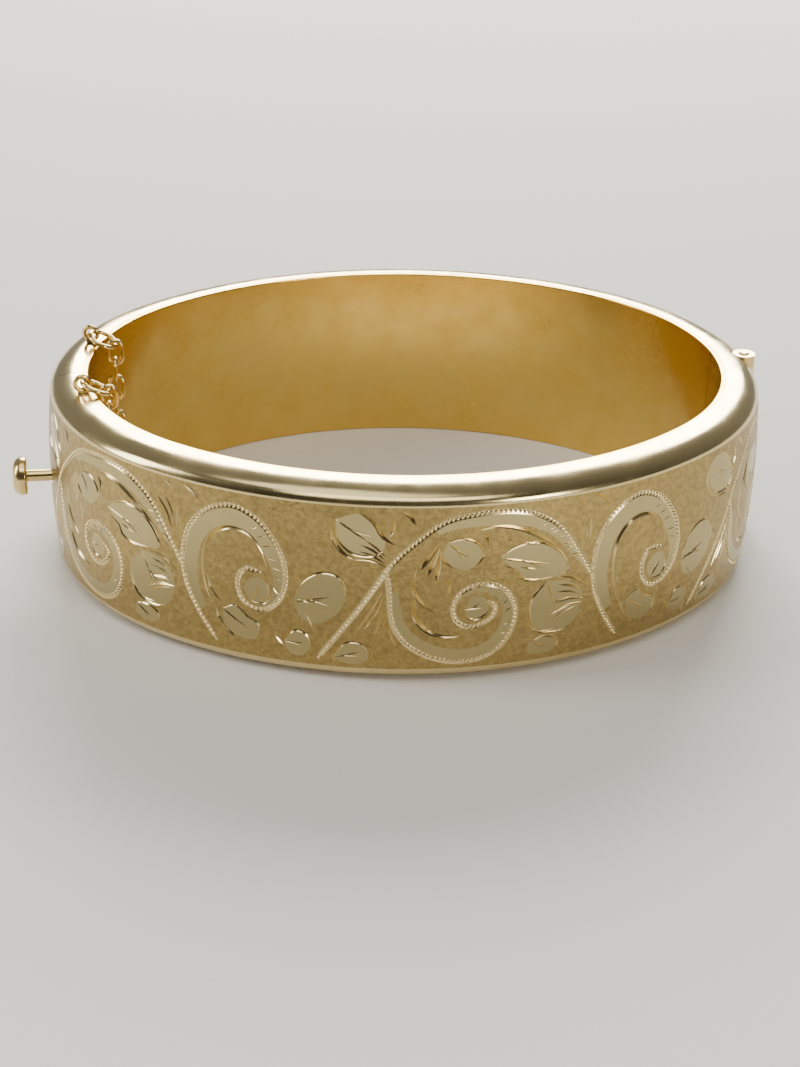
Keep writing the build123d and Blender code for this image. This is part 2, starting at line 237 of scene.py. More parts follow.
def band_beside(points, side, wide):
    """Outline of a polished band that swells and narrows along one side of a vine."""
    line = smooth_line(points, 0.45)
    step = np.gradient(line, axis=0)
    step /= np.hypot(*step.T)[:, None]
    swell = wide * np.sin(np.linspace(0.12, 1, len(line)) * math.pi) ** 0.6
    inner = line + side * np.stack([-step[:, 1], step[:, 0]], -1) * swell[:, None]
    return np.concatenate([line, inner[::-1]])


def shaded_band(points, side, wide):
    """A polished band with a fan of fine shading cuts near the end where it narrows."""
    outline = band_beside(points, side, wide)
    line, inner = outline[: len(outline) // 2], outline[len(outline) // 2 :][::-1]
    cuts = []
    for share in np.arange(0.62, 0.93, 0.045):
        i = int(share * (len(line) - 1))
        reach = 0.55 + 0.3 * math.sin(9 * share)
        near = line[i] + (inner[i] - line[i]) * 0.28
        far = line[i] + (inner[max(i - 1, 0)] - line[i]) * min(0.28 + reach, 0.95)
        cuts.append(graver_cut([near, far], 0.13, 0.3))
    return outline, cuts


def petal(points):
    """Closed smooth outline of a polished leaf."""
    return smooth_line([*points, points[0]], 0.4)[:-1]


def leaf(points):
    """A polished leaf: its outline, with a crescent cut down one side and two veins."""
    outline = petal(points)
    middle = outline.mean(0)
    side = outline[: len(outline) * 3 // 5]
    base = outline[0]
    tip = outline[len(outline) // 2]
    spread = outline[len(outline) * 5 // 8]
    cuts = [
        (side, taper(side, 0.24, 0.6)),
        graver_cut([base, 0.45 * base + 0.55 * middle, 0.55 * middle + 0.45 * tip], 0.2, 0.3),
        graver_cut([base, 0.4 * base + 0.6 * middle, 0.5 * middle + 0.5 * spread], 0.16, 0.3),
    ]
    return outline, cuts


def tall_scroll():
    """The tall scroll, curling in on itself, with its crescent and small nicks."""
    vine = [
        (-1.8, 2.3), (-3.5, 5.0), (-4.6, 7.6), (-4.8, 10.2), (-4.1, 12.8), (-2.3, 14.7),
        (0.0, 15.4), (2.2, 14.6), (3.7, 13.0), (4.6, 11.2), (4.8, 9.2), (4.2, 7.4),
        (3.0, 6.3), (1.7, 6.3), (0.7, 7.3), (0.5, 8.8), (1.2, 9.9), (2.6, 9.8),
    ]
    cuts = [
        graver_cut(
            [
                (-1.6, 4.9), (-2.5, 7.2), (-2.8, 9.8), (-2.2, 12.1), (-0.6, 13.3), (1.3, 13.2),
                (2.6, 12.0), (3.2, 10.2),
            ],
            0.34, 0.6,
        ),
        graver_cut([(-1.6, 5.5), (-1.4, 4.6), (-0.9, 3.9)], 0.36),
        graver_cut([(-0.8, 3.8), (0.1, 2.9)], 0.36),
        graver_cut([(3.8, 3.9), (4.7, 2.9)], 0.3, 0.6),
        graver_cut([(6.4, 6.5), (6.9, 5.9), (7.2, 5.0)], 0.28),
        graver_cut([(7.0, 3.0), (6.7, 2.3), (6.8, 1.7)], 0.2),
        graver_cut([(9.1, 3.2), (8.9, 2.4), (9.1, 1.8)], 0.22),
        graver_cut([(12.4, 3.2), (12.1, 2.7), (12.5, 1.9)], 0.26),
        graver_cut([(5.4, 8.0), (6.6, 7.6), (8.0, 7.9)], 0.18),
        graver_cut([(-2.4, 8.6), (-2.0, 7.2), (-1.1, 6.2)], 0.22),
    ]
    polished = [
        shaded_band(vine[1:14], -1, 1.75),
        leaf([(1.6, 6.9), (2.9, 6.9), (3.4, 8.0), (2.8, 9.2), (1.7, 9.1), (1.1, 8.1)]),
        leaf(
            [
                (5.5, 7.4), (6.1, 9.2), (7.6, 10.4), (9.3, 10.2), (10.0, 8.6), (9.3, 6.8),
                (7.6, 5.6), (6.2, 5.9),
            ],
        ),
        leaf([(4.6, 3.4), (5.4, 4.6), (6.6, 4.4), (6.9, 3.2), (6.2, 2.2), (5.1, 2.3)]),
        leaf(
            [
                (-1.0, 5.6), (0.2, 6.2), (1.3, 5.3), (2.4, 4.6), (2.0, 3.2), (0.4, 3.1),
                (-0.8, 4.0),
            ],
        ),
    ]
    return vine, cuts, polished


def low_spiral():
    """The low round spiral with a curled end, its crescents, leaves and fans."""
    vine = [
        (13.4, 10.6), (13.6, 9.0), (13.7, 7.2), (14.1, 5.5), (15.2, 3.9), (17.0, 2.7),
        (19.0, 2.1), (21.0, 2.1), (22.7, 2.8), (23.8, 4.0), (24.4, 5.6), (24.4, 7.2),
        (23.7, 8.6), (22.2, 9.5), (20.6, 9.4), (19.4, 8.6), (19.0, 7.3), (19.4, 6.1),
        (20.4, 5.5), (21.5, 5.7), (22.4, 6.4), (22.7, 7.3), (22.0, 7.9),
    ]
    cuts = [
        graver_cut([(15.6, 8.6), (15.8, 6.7), (16.8, 5.3), (18.2, 4.7), (19.6, 4.6)], 0.52, 0.45),
        graver_cut([(15.9, 11.4), (15.5, 10.0), (15.9, 8.6), (16.8, 7.5), (17.6, 7.0)], 0.4),
        graver_cut([(17.8, 13.4), (17.1, 12.5), (16.2, 11.1)], 0.42, 0.7),
        graver_cut([(17.8, 13.3), (17.3, 12.0), (16.8, 10.5)], 0.42, 0.7),
        graver_cut([(17.9, 13.2), (17.7, 11.8), (17.5, 10.0)], 0.42, 0.7),
        graver_cut([(17.9, 13.0), (18.0, 12.0), (18.9, 11.2)], 0.28),
        graver_cut([(18.2, 10.6), (18.6, 9.8), (18.6, 8.8)], 0.32),
        graver_cut(
            [
                (21.0, 14.5), (22.4, 14.7), (24.0, 14.5), (25.5, 13.9), (27.2, 12.9),
                (28.5, 11.7), (29.5, 9.9),
            ],
            0.4, 0.4,
        ),
        graver_cut([(21.3, 14.2), (21.8, 13.7), (21.9, 12.9)], 0.3),
        graver_cut([(22.9, 11.9), (24.0, 12.6), (25.2, 12.9), (26.6, 12.7)], 0.22),
        graver_cut([(23.2, 11.1), (24.4, 10.6), (24.8, 9.8), (26.0, 9.4), (28.0, 9.5)], 0.26),
        graver_cut([(24.7, 10.8), (26.2, 10.4)], 0.18),
        graver_cut(
            [
                (27.2, 9.0), (26.1, 7.9), (25.7, 6.6), (26.0, 5.2), (26.7, 4.3), (28.3, 4.3),
            ],
            0.34,
        ),
        graver_cut([(28.4, 9.4), (30.0, 8.9), (31.2, 8.0)], 0.22, 0.4),
        graver_cut([(28.3, 8.6), (29.6, 8.3), (30.9, 7.5)], 0.26, 0.4),
        graver_cut([(28.1, 7.9), (29.4, 7.8), (30.7, 7.2)], 0.2, 0.4),
        graver_cut([(27.9, 6.9), (29.5, 7.1), (30.9, 6.8)], 0.34, 0.4),
        graver_cut([(27.8, 5.8), (29.2, 6.4), (30.7, 6.5)], 0.3, 0.4),
        graver_cut([(27.9, 5.2), (29.0, 5.9), (30.2, 6.2)], 0.2, 0.4),
        graver_cut([(28.9, 14.8), (30.0, 13.6), (30.6, 12.0)], 0.22),
        graver_cut([(29.9, 14.9), (30.6, 13.6), (30.9, 12.1)], 0.22),
        graver_cut([(31.2, 14.6), (31.2, 13.5), (31.1, 12.2)], 0.18),
        graver_cut([(31.7, 16.3), (32.6, 15.9), (33.5, 15.0)], 0.36, 0.4),
        graver_cut([(29.6, 16.3), (30.3, 16.0), (30.8, 15.4)], 0.3),
    ]
    polished = [
        shaded_band(vine[1:17], 1, 1.3),
        leaf(
            [
                (22.9, 11.8), (24.4, 12.8), (26.6, 12.8), (28.4, 11.6), (29.2, 9.9), (28.0, 9.5),
                (26.0, 9.5), (24.8, 9.9), (24.0, 10.8),
            ],
        ),
        leaf(
            [
                (27.2, 9.1), (26.0, 7.9), (25.7, 6.4), (26.0, 5.0), (26.8, 4.2), (28.6, 4.0),
                (29.9, 4.6), (30.6, 6.0), (30.5, 7.8), (29.0, 8.9),
            ],
        ),
        leaf(
            [
                (18.4, 13.5), (19.8, 13.8), (21.1, 13.2), (21.4, 12.0), (20.2, 11.0),
                (18.9, 11.3), (18.0, 12.2),
            ],
        ),
        leaf([(20.0, 7.2), (20.4, 6.3), (21.4, 6.3), (22.1, 7.2), (21.7, 8.3), (20.6, 8.4)]),
        leaf([(26.0, 3.4), (27.4, 3.7), (28.6, 3.2), (28.4, 2.2), (27.0, 1.9), (25.8, 2.4)]),
    ]
    return vine, cuts, polished


def leaning_stem():
    """The vine that climbs from the lower edge, over the low spiral and down to the next scroll."""
    vine = [
        (7.6, 2.2), (9.1, 4.4), (11.0, 7.2), (12.5, 9.6), (13.4, 11.1), (14.5, 12.4),
        (15.7, 13.5), (17.3, 14.8), (19.0, 15.6), (22.0, 16.0), (24.5, 15.9), (26.4, 15.3),
        (28.0, 14.3), (29.2, 12.9), (30.2, 11.3), (31.2, 9.7), (31.8, 8.5),
    ]
    cuts = [
        graver_cut([(8.8, 15.2), (8.8, 13.8), (9.5, 12.6), (10.6, 11.9)], 0.36, 0.6),
        graver_cut([(11.4, 13.8), (12.4, 13.1), (13.3, 12.2)], 0.2),
        graver_cut([(11.1, 13.3), (12.2, 12.8), (13.2, 12.0)], 0.24),
        graver_cut([(11.0, 12.7), (12.2, 12.3), (13.2, 11.6)], 0.24),
        graver_cut([(10.6, 11.9), (12.0, 11.9), (13.4, 11.3)], 0.2),
        graver_cut([(10.8, 16.2), (12.2, 15.3), (13.0, 14.0), (14.1, 13.3)], 0.4),
        graver_cut([(14.5, 16.3), (15.2, 15.9), (15.7, 15.1)], 0.4),
        graver_cut([(13.9, 15.8), (13.9, 14.9), (13.5, 14.0)], 0.24),
        graver_cut([(13.1, 9.2), (12.1, 7.3), (10.8, 4.9)], 0.26, 0.6),
        graver_cut([(13.2, 8.8), (12.5, 7.0), (11.5, 5.3)], 0.24, 0.6),
        graver_cut([(13.2, 8.2), (12.8, 6.4), (12.3, 4.6)], 0.28, 0.6),
        graver_cut([(13.4, 7.6), (13.2, 6.0), (13.2, 4.3)], 0.26, 0.6),
        graver_cut([(13.6, 6.2), (13.8, 5.0), (14.3, 3.7)], 0.26, 0.5),
    ]
    polished = [
        shaded_band(vine[7:16], -1, 1.2),
        leaf(
            [
                (9.0, 15.4), (9.3, 13.6), (10.6, 12.4), (12.6, 12.4), (13.2, 13.6), (12.4, 15.2),
                (10.8, 16.0),
            ],
        ),
        leaf([(8.9, 2.3), (9.8, 3.8), (11.2, 3.9), (12.0, 2.9), (11.4, 1.9), (10.0, 1.8)]),
    ]
    return vine, cuts, polished


def on_face(line):
    """Whether a line stays on the face, clear of the hinge end and of the thumb stem's slot."""
    inside = (
        line[:, 0].min() > CLASP_MARGIN
        and line[:, 0].max() < HALF_RUN - HINGE_MARGIN
        and line[:, 1].min() > FACE_LOW + RIM_MARGIN
        and line[:, 1].max() < FACE_HIGH - RIM_MARGIN
    )
    long_margin, high_margin = SLOT_MARGIN
    in_slot = (line[:, 0] < long_margin) & (np.abs(line[:, 1] - MIDDLE) < high_margin)
    return inside and not in_slot.any()


def pieces_on_face(line, half):
    """The runs of a long line that stay on the face."""
    good = [on_face(line[i : i + 1]) for i in range(len(line))]
    runs, start = [], None
    for i, fine in enumerate(good + [False]):
        if fine and start is None:
            start = i
        if not fine and start is not None:
            if i - start > 3:
                width = half[start:i].copy()
                width[0] = width[-1] = 0
                runs.append((line[start:i], width))
            start = None
    return runs


def engraving():
    """The front face's pattern: three motifs, repeated along the band, as cuts, vines for the
    beading and outlines of the polished leaves."""
    cuts, vines, polished = [], [], []
    for repeat in range(MOTIFS):
        place = np.array([FIRST_MOTIF + repeat * MOTIF_RUN, 0.0])
        for vine, marks, leaves in (tall_scroll(), low_spiral(), leaning_stem()):
            line, half = channel(vine, VINE_WIDTH)
            runs = pieces_on_face(line + place, half)
            cuts += runs
            vines += [run for run, _ in runs]
            cuts += [(mark + place, width) for mark, width in marks if on_face(mark + place)]
            for outline, veins in leaves:
                if on_face(outline + place):
                    polished.append(outline + place)
                    cuts += [(mark + place, width) for mark, width in veins]
    return cuts, vines, polished


def cut_depths(points, cuts):
    """Depth of the deepest cut at each point of the face."""
    depth = np.zeros(len(points))
    order = np.argsort(points[:, 0])
    sorted_along = points[order, 0]
    for line, half in cuts:
        margin = half.max()
        first = np.searchsorted(sorted_along, line[:, 0].min() - margin)
        last = np.searchsorted(sorted_along, line[:, 0].max() + margin)
        near = order[first:last]
        near = near[
            (points[near, 1] > line[:, 1].min() - margin)
            & (points[near, 1] < line[:, 1].max() + margin)
        ]
        if not len(near):
            continue
        a, b = line[:-1], line[1:]
        step = b - a
        offset = points[near][:, None] - a[None]
        t = np.clip((offset * step).sum(-1) / (step**2).sum(-1), 0, 1)
        away = np.hypot(*np.moveaxis(offset - t[..., None] * step, -1, 0))
        width = half[:-1] + (half[1:] - half[:-1]) * t
        cut = CUT_SLOPE * (width - away).max(1)
        if half[len(half) // 2] == VINE_WIDTH / 2:
            cut = np.minimum(cut, VINE_DEPTH)
        depth[near] = np.maximum(depth[near], cut)
    return depth


# Meshes -----------------------------------------------------------------------------------


def place_piece(name, mesh, body):
    """An object for a finished mesh, riding on a body."""
    piece = bpy.data.objects.new(name, mesh)
    bpy.context.scene.collection.objects.link(piece)
    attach(piece, body)
    return piece


class Patchwork:
    """Collects patches of one mesh: points, faces and a normal for each face corner. Each face
    is wound to agree with its normals, so that it faces the way they point."""

    def __init__(self, mirrored):
        self.points, self.faces, self.normals, self.matting_and_shade = [], [], [], []
        self.mirrored = mirrored
        self.count = 0

    def add(self, points, faces, normals, matting_and_shade=None):
        """Adds faces that have all the same number of corners."""
        faces = np.array(faces)
        points = np.array(points, float)
        normals = np.array(normals, float)
        if self.mirrored:
            points[:, 1] *= -1
            normals[..., 1] *= -1
        corners = points[faces] - points[faces][:, :1]
        facing = np.cross(corners, np.roll(corners, -1, axis=1)).sum(1)
        against = (facing * normals.mean(1)).sum(1) < 0
        faces[against] = faces[against][:, ::-1]
        normals[against] = normals[against][:, ::-1]
        self.points.append(points)
        self.faces.append(faces + self.count)
        self.normals.append(normals)
        self.matting_and_shade.append(np.zeros(len(faces)) if matting_and_shade is None else matting_and_shade)
        self.count += len(points)

    def grid(self, points, normals):
        """A patch from rows and columns of points with a normal at each."""
        rows, columns = points.shape[:2]
        index = np.arange(rows * columns).reshape(rows, columns)
        quads = np.stack(
            [index[:-1, :-1], index[:-1, 1:], index[1:, 1:], index[1:, :-1]], -1
        ).reshape(-1, 4)
        flat = np.broadcast_to(normals, points.shape).reshape(-1, 3)
        self.add(points.reshape(-1, 3), quads, flat[quads])

    def build(self, name, material, body):
        """The patches as one smooth-shaded piece."""
        points = np.concatenate(self.points) * MM
        faces = [face for patch in self.faces for face in patch.tolist()]
        normals = np.concatenate([patch.reshape(-1, 3) for patch in self.normals])
        matting_and_shade = [np.repeat(m, f.shape[1]) for m, f in zip(self.matting_and_shade, self.faces)]
        mesh = bpy.data.meshes.new(name)
        mesh.from_pydata(points.tolist(), [], faces)
        mesh.polygons.foreach_set("use_smooth", [True] * len(mesh.polygons))
        mesh.update()
        mesh.normals_split_custom_set(normals.tolist())
        layer = mesh.attributes.new("matting_and_shade", "FLOAT", "CORNER")
        layer.data.foreach_set("value", np.concatenate(matting_and_shade))
        mesh.materials.append(material)
        return place_piece(name, mesh, body)


def columns_along():
    """Distances along a half at which its meshes have a column of points."""
    return np.linspace(0, HALF_RUN, COLUMNS)


def rows_up():
    """Heights at which the face has a row of points."""
    return np.linspace(FACE_LOW, FACE_HIGH, FACE_ROWS)


def shoulder_profile(upper, inset):
    """Depths, heights and normals over the land and the rounded shoulder, up to the face."""
    turn = np.linspace(0, math.pi / 2, SHOULDER_STEPS)
    wide = SHOULDER_DEPTH - LAND_DEPTH - inset
    tall = SHOULDER_HEIGHT - inset
    depth = LAND_DEPTH + wide * np.sin(turn)
    height = SHOULDER_HEIGHT - tall * np.cos(turn)
    out = np.sin(turn) / wide
    up = -np.cos(turn) / tall
    size = np.hypot(out, up)
    depth = np.concatenate([[LINER_SHEET + SOLDER_GAP, LAND_DEPTH], depth])
    height = np.concatenate([[inset, inset], height])
    out = np.concatenate([[0, 0], out / size])
    up = np.concatenate([[-1, -1], up / size])
    if upper:
        height, up = BAND_HEIGHT - height, -up
    return depth, height, out, up


def face_outline_slot():
    """Outline of the thumb stem's slot on the face, open at the clasp end."""
    half = SLOT_WIDTH / 2
    top = [(along, MIDDLE + half) for along in (0.0, STEM_REACH / 2)]
    foot = [(along, MIDDLE - half) for along in (STEM_REACH / 2, 0.0)]
    turn = np.linspace(math.pi / 2, -math.pi / 2, SLOT_STEPS)
    arc = [(STEM_REACH + half * math.cos(t), MIDDLE + half * math.sin(t)) for t in turn]
    return [*top, *arc, *foot]


def face_layout(cuts, leaves, slot):
    """Triangles of the flat face: its border, the slot, an even field and the cuts' edges."""
    points, edges = [], []

    def run_of(line, closed=False):
        start = len(points)
        points.extend((float(a), float(b)) for a, b in line)
        edges.extend((start + i, start + i + 1) for i in range(len(line) - 1))
        if closed:
            edges.append((start + len(line) - 1, start))

    along = columns_along()
    rises = rows_up()
    run_of([(a, FACE_LOW) for a in along])
    run_of([(a, FACE_HIGH) for a in along])
    run_of([(0.0, r) for r in rises])
    run_of([(HALF_RUN, r) for r in rises])
    points.extend((a, r) for a in along[1:-1] for r in rises[1:-1])
    if slot:
        run_of(slot)
    for line, half in cuts:
        step = np.gradient(line, axis=0)
        step /= np.hypot(*step.T)[:, None]
        side = np.stack([-step[:, 1], step[:, 0]], -1) * half[:, None]
        run_of(line)
        run_of(np.concatenate([line[:1], (line + side)[1:-1], line[-1:]]))
        run_of(np.concatenate([line[:1], (line - side)[1:-1], line[-1:]]))
    for leaf in leaves:
        run_of(leaf, closed=True)
    flat, _, triangles, *_ = geometry.delaunay_2d_cdt(
        [Vector(p) for p in points], edges, [], 0, 1e-5
    )
    flat = np.array([tuple(p) for p in flat])
    triangles = np.array([t for t in triangles if len(t) == 3])
    if slot:
        middle = flat[triangles].mean(1)
        half = SLOT_WIDTH / 2
        gone = (np.abs(middle[:, 1] - MIDDLE) < half) & (
            (middle[:, 0] < STEM_REACH)
            | (np.hypot(middle[:, 0] - STEM_REACH, middle[:, 1] - MIDDLE) < half)
        )
        triangles = triangles[~gone]
    return flat, triangles


def inside_any(places, outlines):
    """Which places lie inside one of the closed outlines."""
    found = np.zeros(len(places), bool)
    for outline in outlines:
        low, high = outline.min(0), outline.max(0)
        near = np.where(((places > low) & (places < high)).all(1))[0]
        if not len(near):
            continue
        x, y = places[near].T
        inside = np.zeros(len(near), bool)
        for (ax, ay), (bx, by) in zip(outline, np.roll(outline, -1, axis=0)):
            crosses = (ay > y) != (by > y)
            if abs(by - ay) > 1e-12:
                inside ^= crosses & (x < ax + (y - ay) * (bx - ax) / (by - ay))
        found[near] |= inside
    return found


def smooth_corners(points, faces, cut, plain_normals, limit):
    """Corner normals: the true surface normal on plain faces, and on the cuts the mean of the
    neighbouring facets that lie within the limit."""
    a, b, c = points[faces[:, 0]], points[faces[:, 1]], points[faces[:, 2]]
    facet = np.cross(b - a, c - a)
    area = np.linalg.norm(facet, axis=1, keepdims=True)
    facet = facet / np.maximum(area, 1e-12)
    around = [[] for _ in range(len(points))]
    for index in np.where(cut)[0]:
        for corner in faces[index]:
            around[corner].append(index)
    normals = np.empty((len(faces), 3, 3))
    normals[~cut] = plain_normals[faces[~cut]]
    for index in np.where(cut)[0]:
        for place, corner in enumerate(faces[index]):
            near = np.array(around[corner])
            near = near[(facet[near] @ facet[index] > limit) & cut[near]]
            total = (facet[near] * area[near]).sum(0)
            size = np.linalg.norm(total)
            normals[index, place] = total / size if size > 0 else facet[index]
    return normals


def profile_rows(along, profile):
    """Rows of points and normals along a half, one for each depth, height and normal."""
    points = [band_points(fit_ends(along, d), d, h) for d, h, _, _ in profile]
    normals = [band_normals(fit_ends(along, d), o, u) for d, _, o, u in profile]
    return np.array(points), np.array(normals)


def shell(name, body, material, mirrored, cuts, leaves, stem_slot):
    """A half's outer shell: lands, rounded shoulders, the domed face with its cuts, the inner
    skin and the two end faces, as one closed sheet."""
    patch = Patchwork(mirrored)
    along = columns_along()
    for inset, inner in ((0.0, False), (SHELL_SHEET, True)):
        for upper in (False, True):
            points, normals = profile_rows(along, list(zip(*shoulder_profile(upper, inset))))
            patch.grid(points, -normals if inner else normals)
        slot = face_outline_slot() if stem_slot else None
        flat, triangles = face_layout([] if inner else cuts, [] if inner else leaves, slot)
        depth = dome_depth(flat[:, 1]) - inset
        place = fit_ends(flat[:, 0], depth)
        carved = np.zeros(len(flat))
        cut = np.zeros(len(triangles), bool)
        if cuts and not inner:
            middle = flat[triangles].mean(1)
            cut = cut_depths(middle, cuts) > LEAST_CUT
            in_cut = np.zeros(len(flat), bool)
            in_cut[triangles[cut]] = True
            carved = np.where(in_cut, cut_depths(flat, cuts), 0.0)
        points = band_points(place, depth - carved, flat[:, 1])
        up = dome_slope(flat[:, 1])
        plain = band_normals(place, np.sqrt(1 - up**2), up)
        if inner:
            patch.add(points, triangles, -plain[triangles])
        else:
            normals = smooth_corners(points, triangles, cut, plain, SAME_FACET)
            # one level per triangle for the matting and the painted shade: 0 on the cuts, 0.5 on
            # the leaves, 1 on the matted ground
            matting_and_shade = np.zeros(len(triangles))
            if cuts:
                matting_and_shade = np.where(inside_any(middle, leaves), 0.5, 1.0)
                matting_and_shade[cut] = 0.0
            patch.add(points, triangles, normals, matting_and_shade)
    for end in (0.0, HALF_RUN):
        for upper in (False, True):
            outer = shoulder_profile(upper, 0.0)
            inner = shoulder_profile(upper, SHELL_SHEET)
            rows = []
            for depth, height, _, _ in (outer, inner):
                ends = np.full(len(depth), end)
                rows.append(band_points(fit_ends(ends, depth), depth, height))
            patch.grid(np.array(rows), END_FACING)
        rises = rows_up()
        if stem_slot and end == 0:
            half = SLOT_WIDTH / 2
            spans = [
                [r for r in rises if r < MIDDLE - half] + [MIDDLE - half],
                [MIDDLE + half] + [r for r in rises if r > MIDDLE + half],
            ]
        else:
            spans = [list(rises)]
        for span in spans:
            span = np.array(span)
            rows = []
            for inset in (0.0, SHELL_SHEET):
                depth = dome_depth(span) - inset
                ends = np.full(len(span), end)
                rows.append(band_points(fit_ends(ends, depth), depth, span))
            patch.grid(np.array(rows), END_FACING)
    for upper in (False, True):
        rows = []
        for inset in (0.0, SHELL_SHEET):
            depth, height, _, _ = shoulder_profile(upper, inset)
            place = fit_ends(along, depth[0])
            rows.append(band_points(place, depth[0], height[0]))
        place = fit_ends(along, LINER_SHEET + SOLDER_GAP)
        inward = band_normals(place, -1.0, 0.0)
        patch.grid(np.array(rows), np.stack([inward, inward]))
    if stem_slot:
        outline = np.array(face_outline_slot())
        rows = []
        for inset in (0.0, SHELL_SHEET):
            depth = dome_depth(outline[:, 1]) - inset
            rows.append(band_points(fit_ends(outline[:, 0], depth), depth, outline[:, 1]))
        rows = np.array(rows)
        step = np.gradient(rows[0], axis=0)
        away = rows[0] - rows[1]
        side = np.cross(step, away)
        side /= np.linalg.norm(side, axis=1)[:, None]
        patch.grid(rows, np.stack([side, side]))
    return patch.build(name, material, body)


def liner(name, body, material, mirrored):
    """A half's smooth lining, with softened edges at both rims."""
    patch = Patchwork(mirrored)
    along = columns_along()
    low, high = RIM_STEP, BAND_HEIGHT - RIM_STEP
    rounding = [
        (RIM_ROUNDING * (1 - out), RIM_ROUNDING * (1 - up), out, up)
        for out, up in ((math.sin(t), math.cos(t)) for t in np.linspace(0, math.pi / 2, RIM_STEPS))
    ]
    profile = [(LINER_SHEET, low, 0.0, -1.0)]
    profile += [(depth, low + rise, -out, -up) for depth, rise, out, up in rounding]
    profile += [(depth, high - rise, -out, up) for depth, rise, out, up in rounding[::-1]]
    profile += [(LINER_SHEET, high, 0.0, 1.0)]
    patch.grid(*profile_rows(along, profile))
    outside = [(LINER_SHEET, low, 1.0, 0.0), (LINER_SHEET, high, 1.0, 0.0)]
    patch.grid(*profile_rows(along, outside))
    for end in (0.0, HALF_RUN):
        outline, _ = profile_rows(np.array([end]), profile)
        corners = np.broadcast_to(END_FACING, (1, len(outline), 3))
        patch.add(outline[:, 0], np.arange(len(outline))[None], corners)
    return patch.build(name, material, body)


# Geometry Nodes ---------------------------------------------------------------------------


def add_node(tree, kind, settings=None, links=None):
    """Adds a node, sets its properties and sockets, and links other nodes' outputs into it."""
    node = tree.nodes.new(kind)
    for key, value in (settings or {}).items():
        if isinstance(key, str) and hasattr(node, key):
            setattr(node, key, value)
        else:
            node.inputs[key].default_value = value
    for key, output in (links or {}).items():
        tree.links.new(output, node.inputs[key])
    return node


def new_tree(name, inputs):
    """A geometry tree with named inputs, its group input node and the input sockets."""
    tree = bpy.data.node_groups.new(name, "GeometryNodeTree")
    tree.interface.new_socket("Geometry", in_out="INPUT", socket_type="NodeSocketGeometry")
    tree.interface.new_socket("Geometry", in_out="OUTPUT", socket_type="NodeSocketGeometry")
    for label, kind in inputs.items():
        tree.interface.new_socket(label, in_out="INPUT", socket_type="NodeSocket" + kind)
    return tree, tree.nodes.new("NodeGroupInput").outputs


def finish_tree(tree, made, given):
    """Ends a tree: instances made real, shaded smooth and given the finish."""
    real = add_node(tree, "GeometryNodeRealizeInstances", {}, {"Geometry": made})
    smooth = add_node(tree, "GeometryNodeSetShadeSmooth", {}, {"Geometry": real.outputs[0]})
    finish = add_node(
        tree,
        "GeometryNodeSetMaterial",
        {},
        {"Geometry": smooth.outputs[0], "Material": given["Finish"]},
    )
    add_node(tree, "NodeGroupOutput", {}, {"Geometry": finish.outputs[0]})


def grow(name, tree, points, edges, vectors, values, body):
    """Runs a tree on a base of points in millimetres and keeps the result as a plain mesh."""
    base = bpy.data.meshes.new(name + "_base")
    base.from_pydata((np.asarray(points) * MM).tolist(), edges, [])
    for label, data in vectors.items():
        layer = base.attributes.new(label, "FLOAT_VECTOR", "POINT")
        layer.data.foreach_set("vector", np.asarray(data, float).ravel())
    guide = bpy.data.objects.new(name + "_base", base)
    bpy.context.scene.collection.objects.link(guide)
    grower = guide.modifiers.new(name, "NODES")
    grower.node_group = tree
    for item in tree.interface.items_tree:
        if item.in_out == "INPUT" and item.name in values:
            grower[item.identifier] = values[item.name]
    ready = guide.evaluated_get(bpy.context.evaluated_depsgraph_get())
    mesh = bpy.data.meshes.new_from_object(ready)
    mesh.name = name
    guide.modifiers.remove(grower)
    bpy.data.objects.remove(guide)
    return place_piece(name, mesh, body)


def beading_tree():
    """Small oval beads, side by side along a line and leaning across it."""
    tree, given = new_tree(
        "vine_beading",
        {"Pitch": "Float", "Bead size": "Vector", "Lean": "Float", "Finish": "Material"},
    )
    line = add_node(tree, "GeometryNodeMeshToCurve", {}, {"Mesh": given["Geometry"]})
    spaced = add_node(
        tree,
        "GeometryNodeResampleCurve",
        {"mode": "LENGTH"},
        {"Curve": line.outputs[0], "Length": given["Pitch"]},
    )
    bead = add_node(tree, "GeometryNodeMeshIcoSphere", {"Radius": 0.5, "Subdivisions": 2})
    outward = add_node(
        tree, "GeometryNodeInputNamedAttribute", {"data_type": "FLOAT_VECTOR", "Name": "outward"}
    )
    stand = add_node(
        tree,
        "FunctionNodeAlignRotationToVector",
        {"axis": "Z"},
        {"Vector": outward.outputs["Attribute"]},
    )
    run = add_node(tree, "GeometryNodeInputTangent")
    follow = add_node(
        tree,
        "FunctionNodeAlignRotationToVector",
        {"axis": "X", "pivot_axis": "Z"},
        {"Rotation": stand.outputs[0], "Vector": run.outputs[0]},
    )
    lean = add_node(
        tree,
        "FunctionNodeAxisAngleToRotation",
        {"Axis": (0.0, 0.0, 1.0)},
        {"Angle": given["Lean"]},
    )
    turned = add_node(
        tree,
        "FunctionNodeRotateRotation",
        {"rotation_space": "LOCAL"},
        {"Rotation": follow.outputs[0], "Rotate By": lean.outputs[0]},
    )
    beads = add_node(
        tree,
        "GeometryNodeInstanceOnPoints",
        {},
        {
            "Points": spaced.outputs[0],
            "Instance": bead.outputs["Mesh"],
            "Rotation": turned.outputs[0],
            "Scale": given["Bead size"],
        },
    )
    finish_tree(tree, beads.outputs[0], given)
    return tree


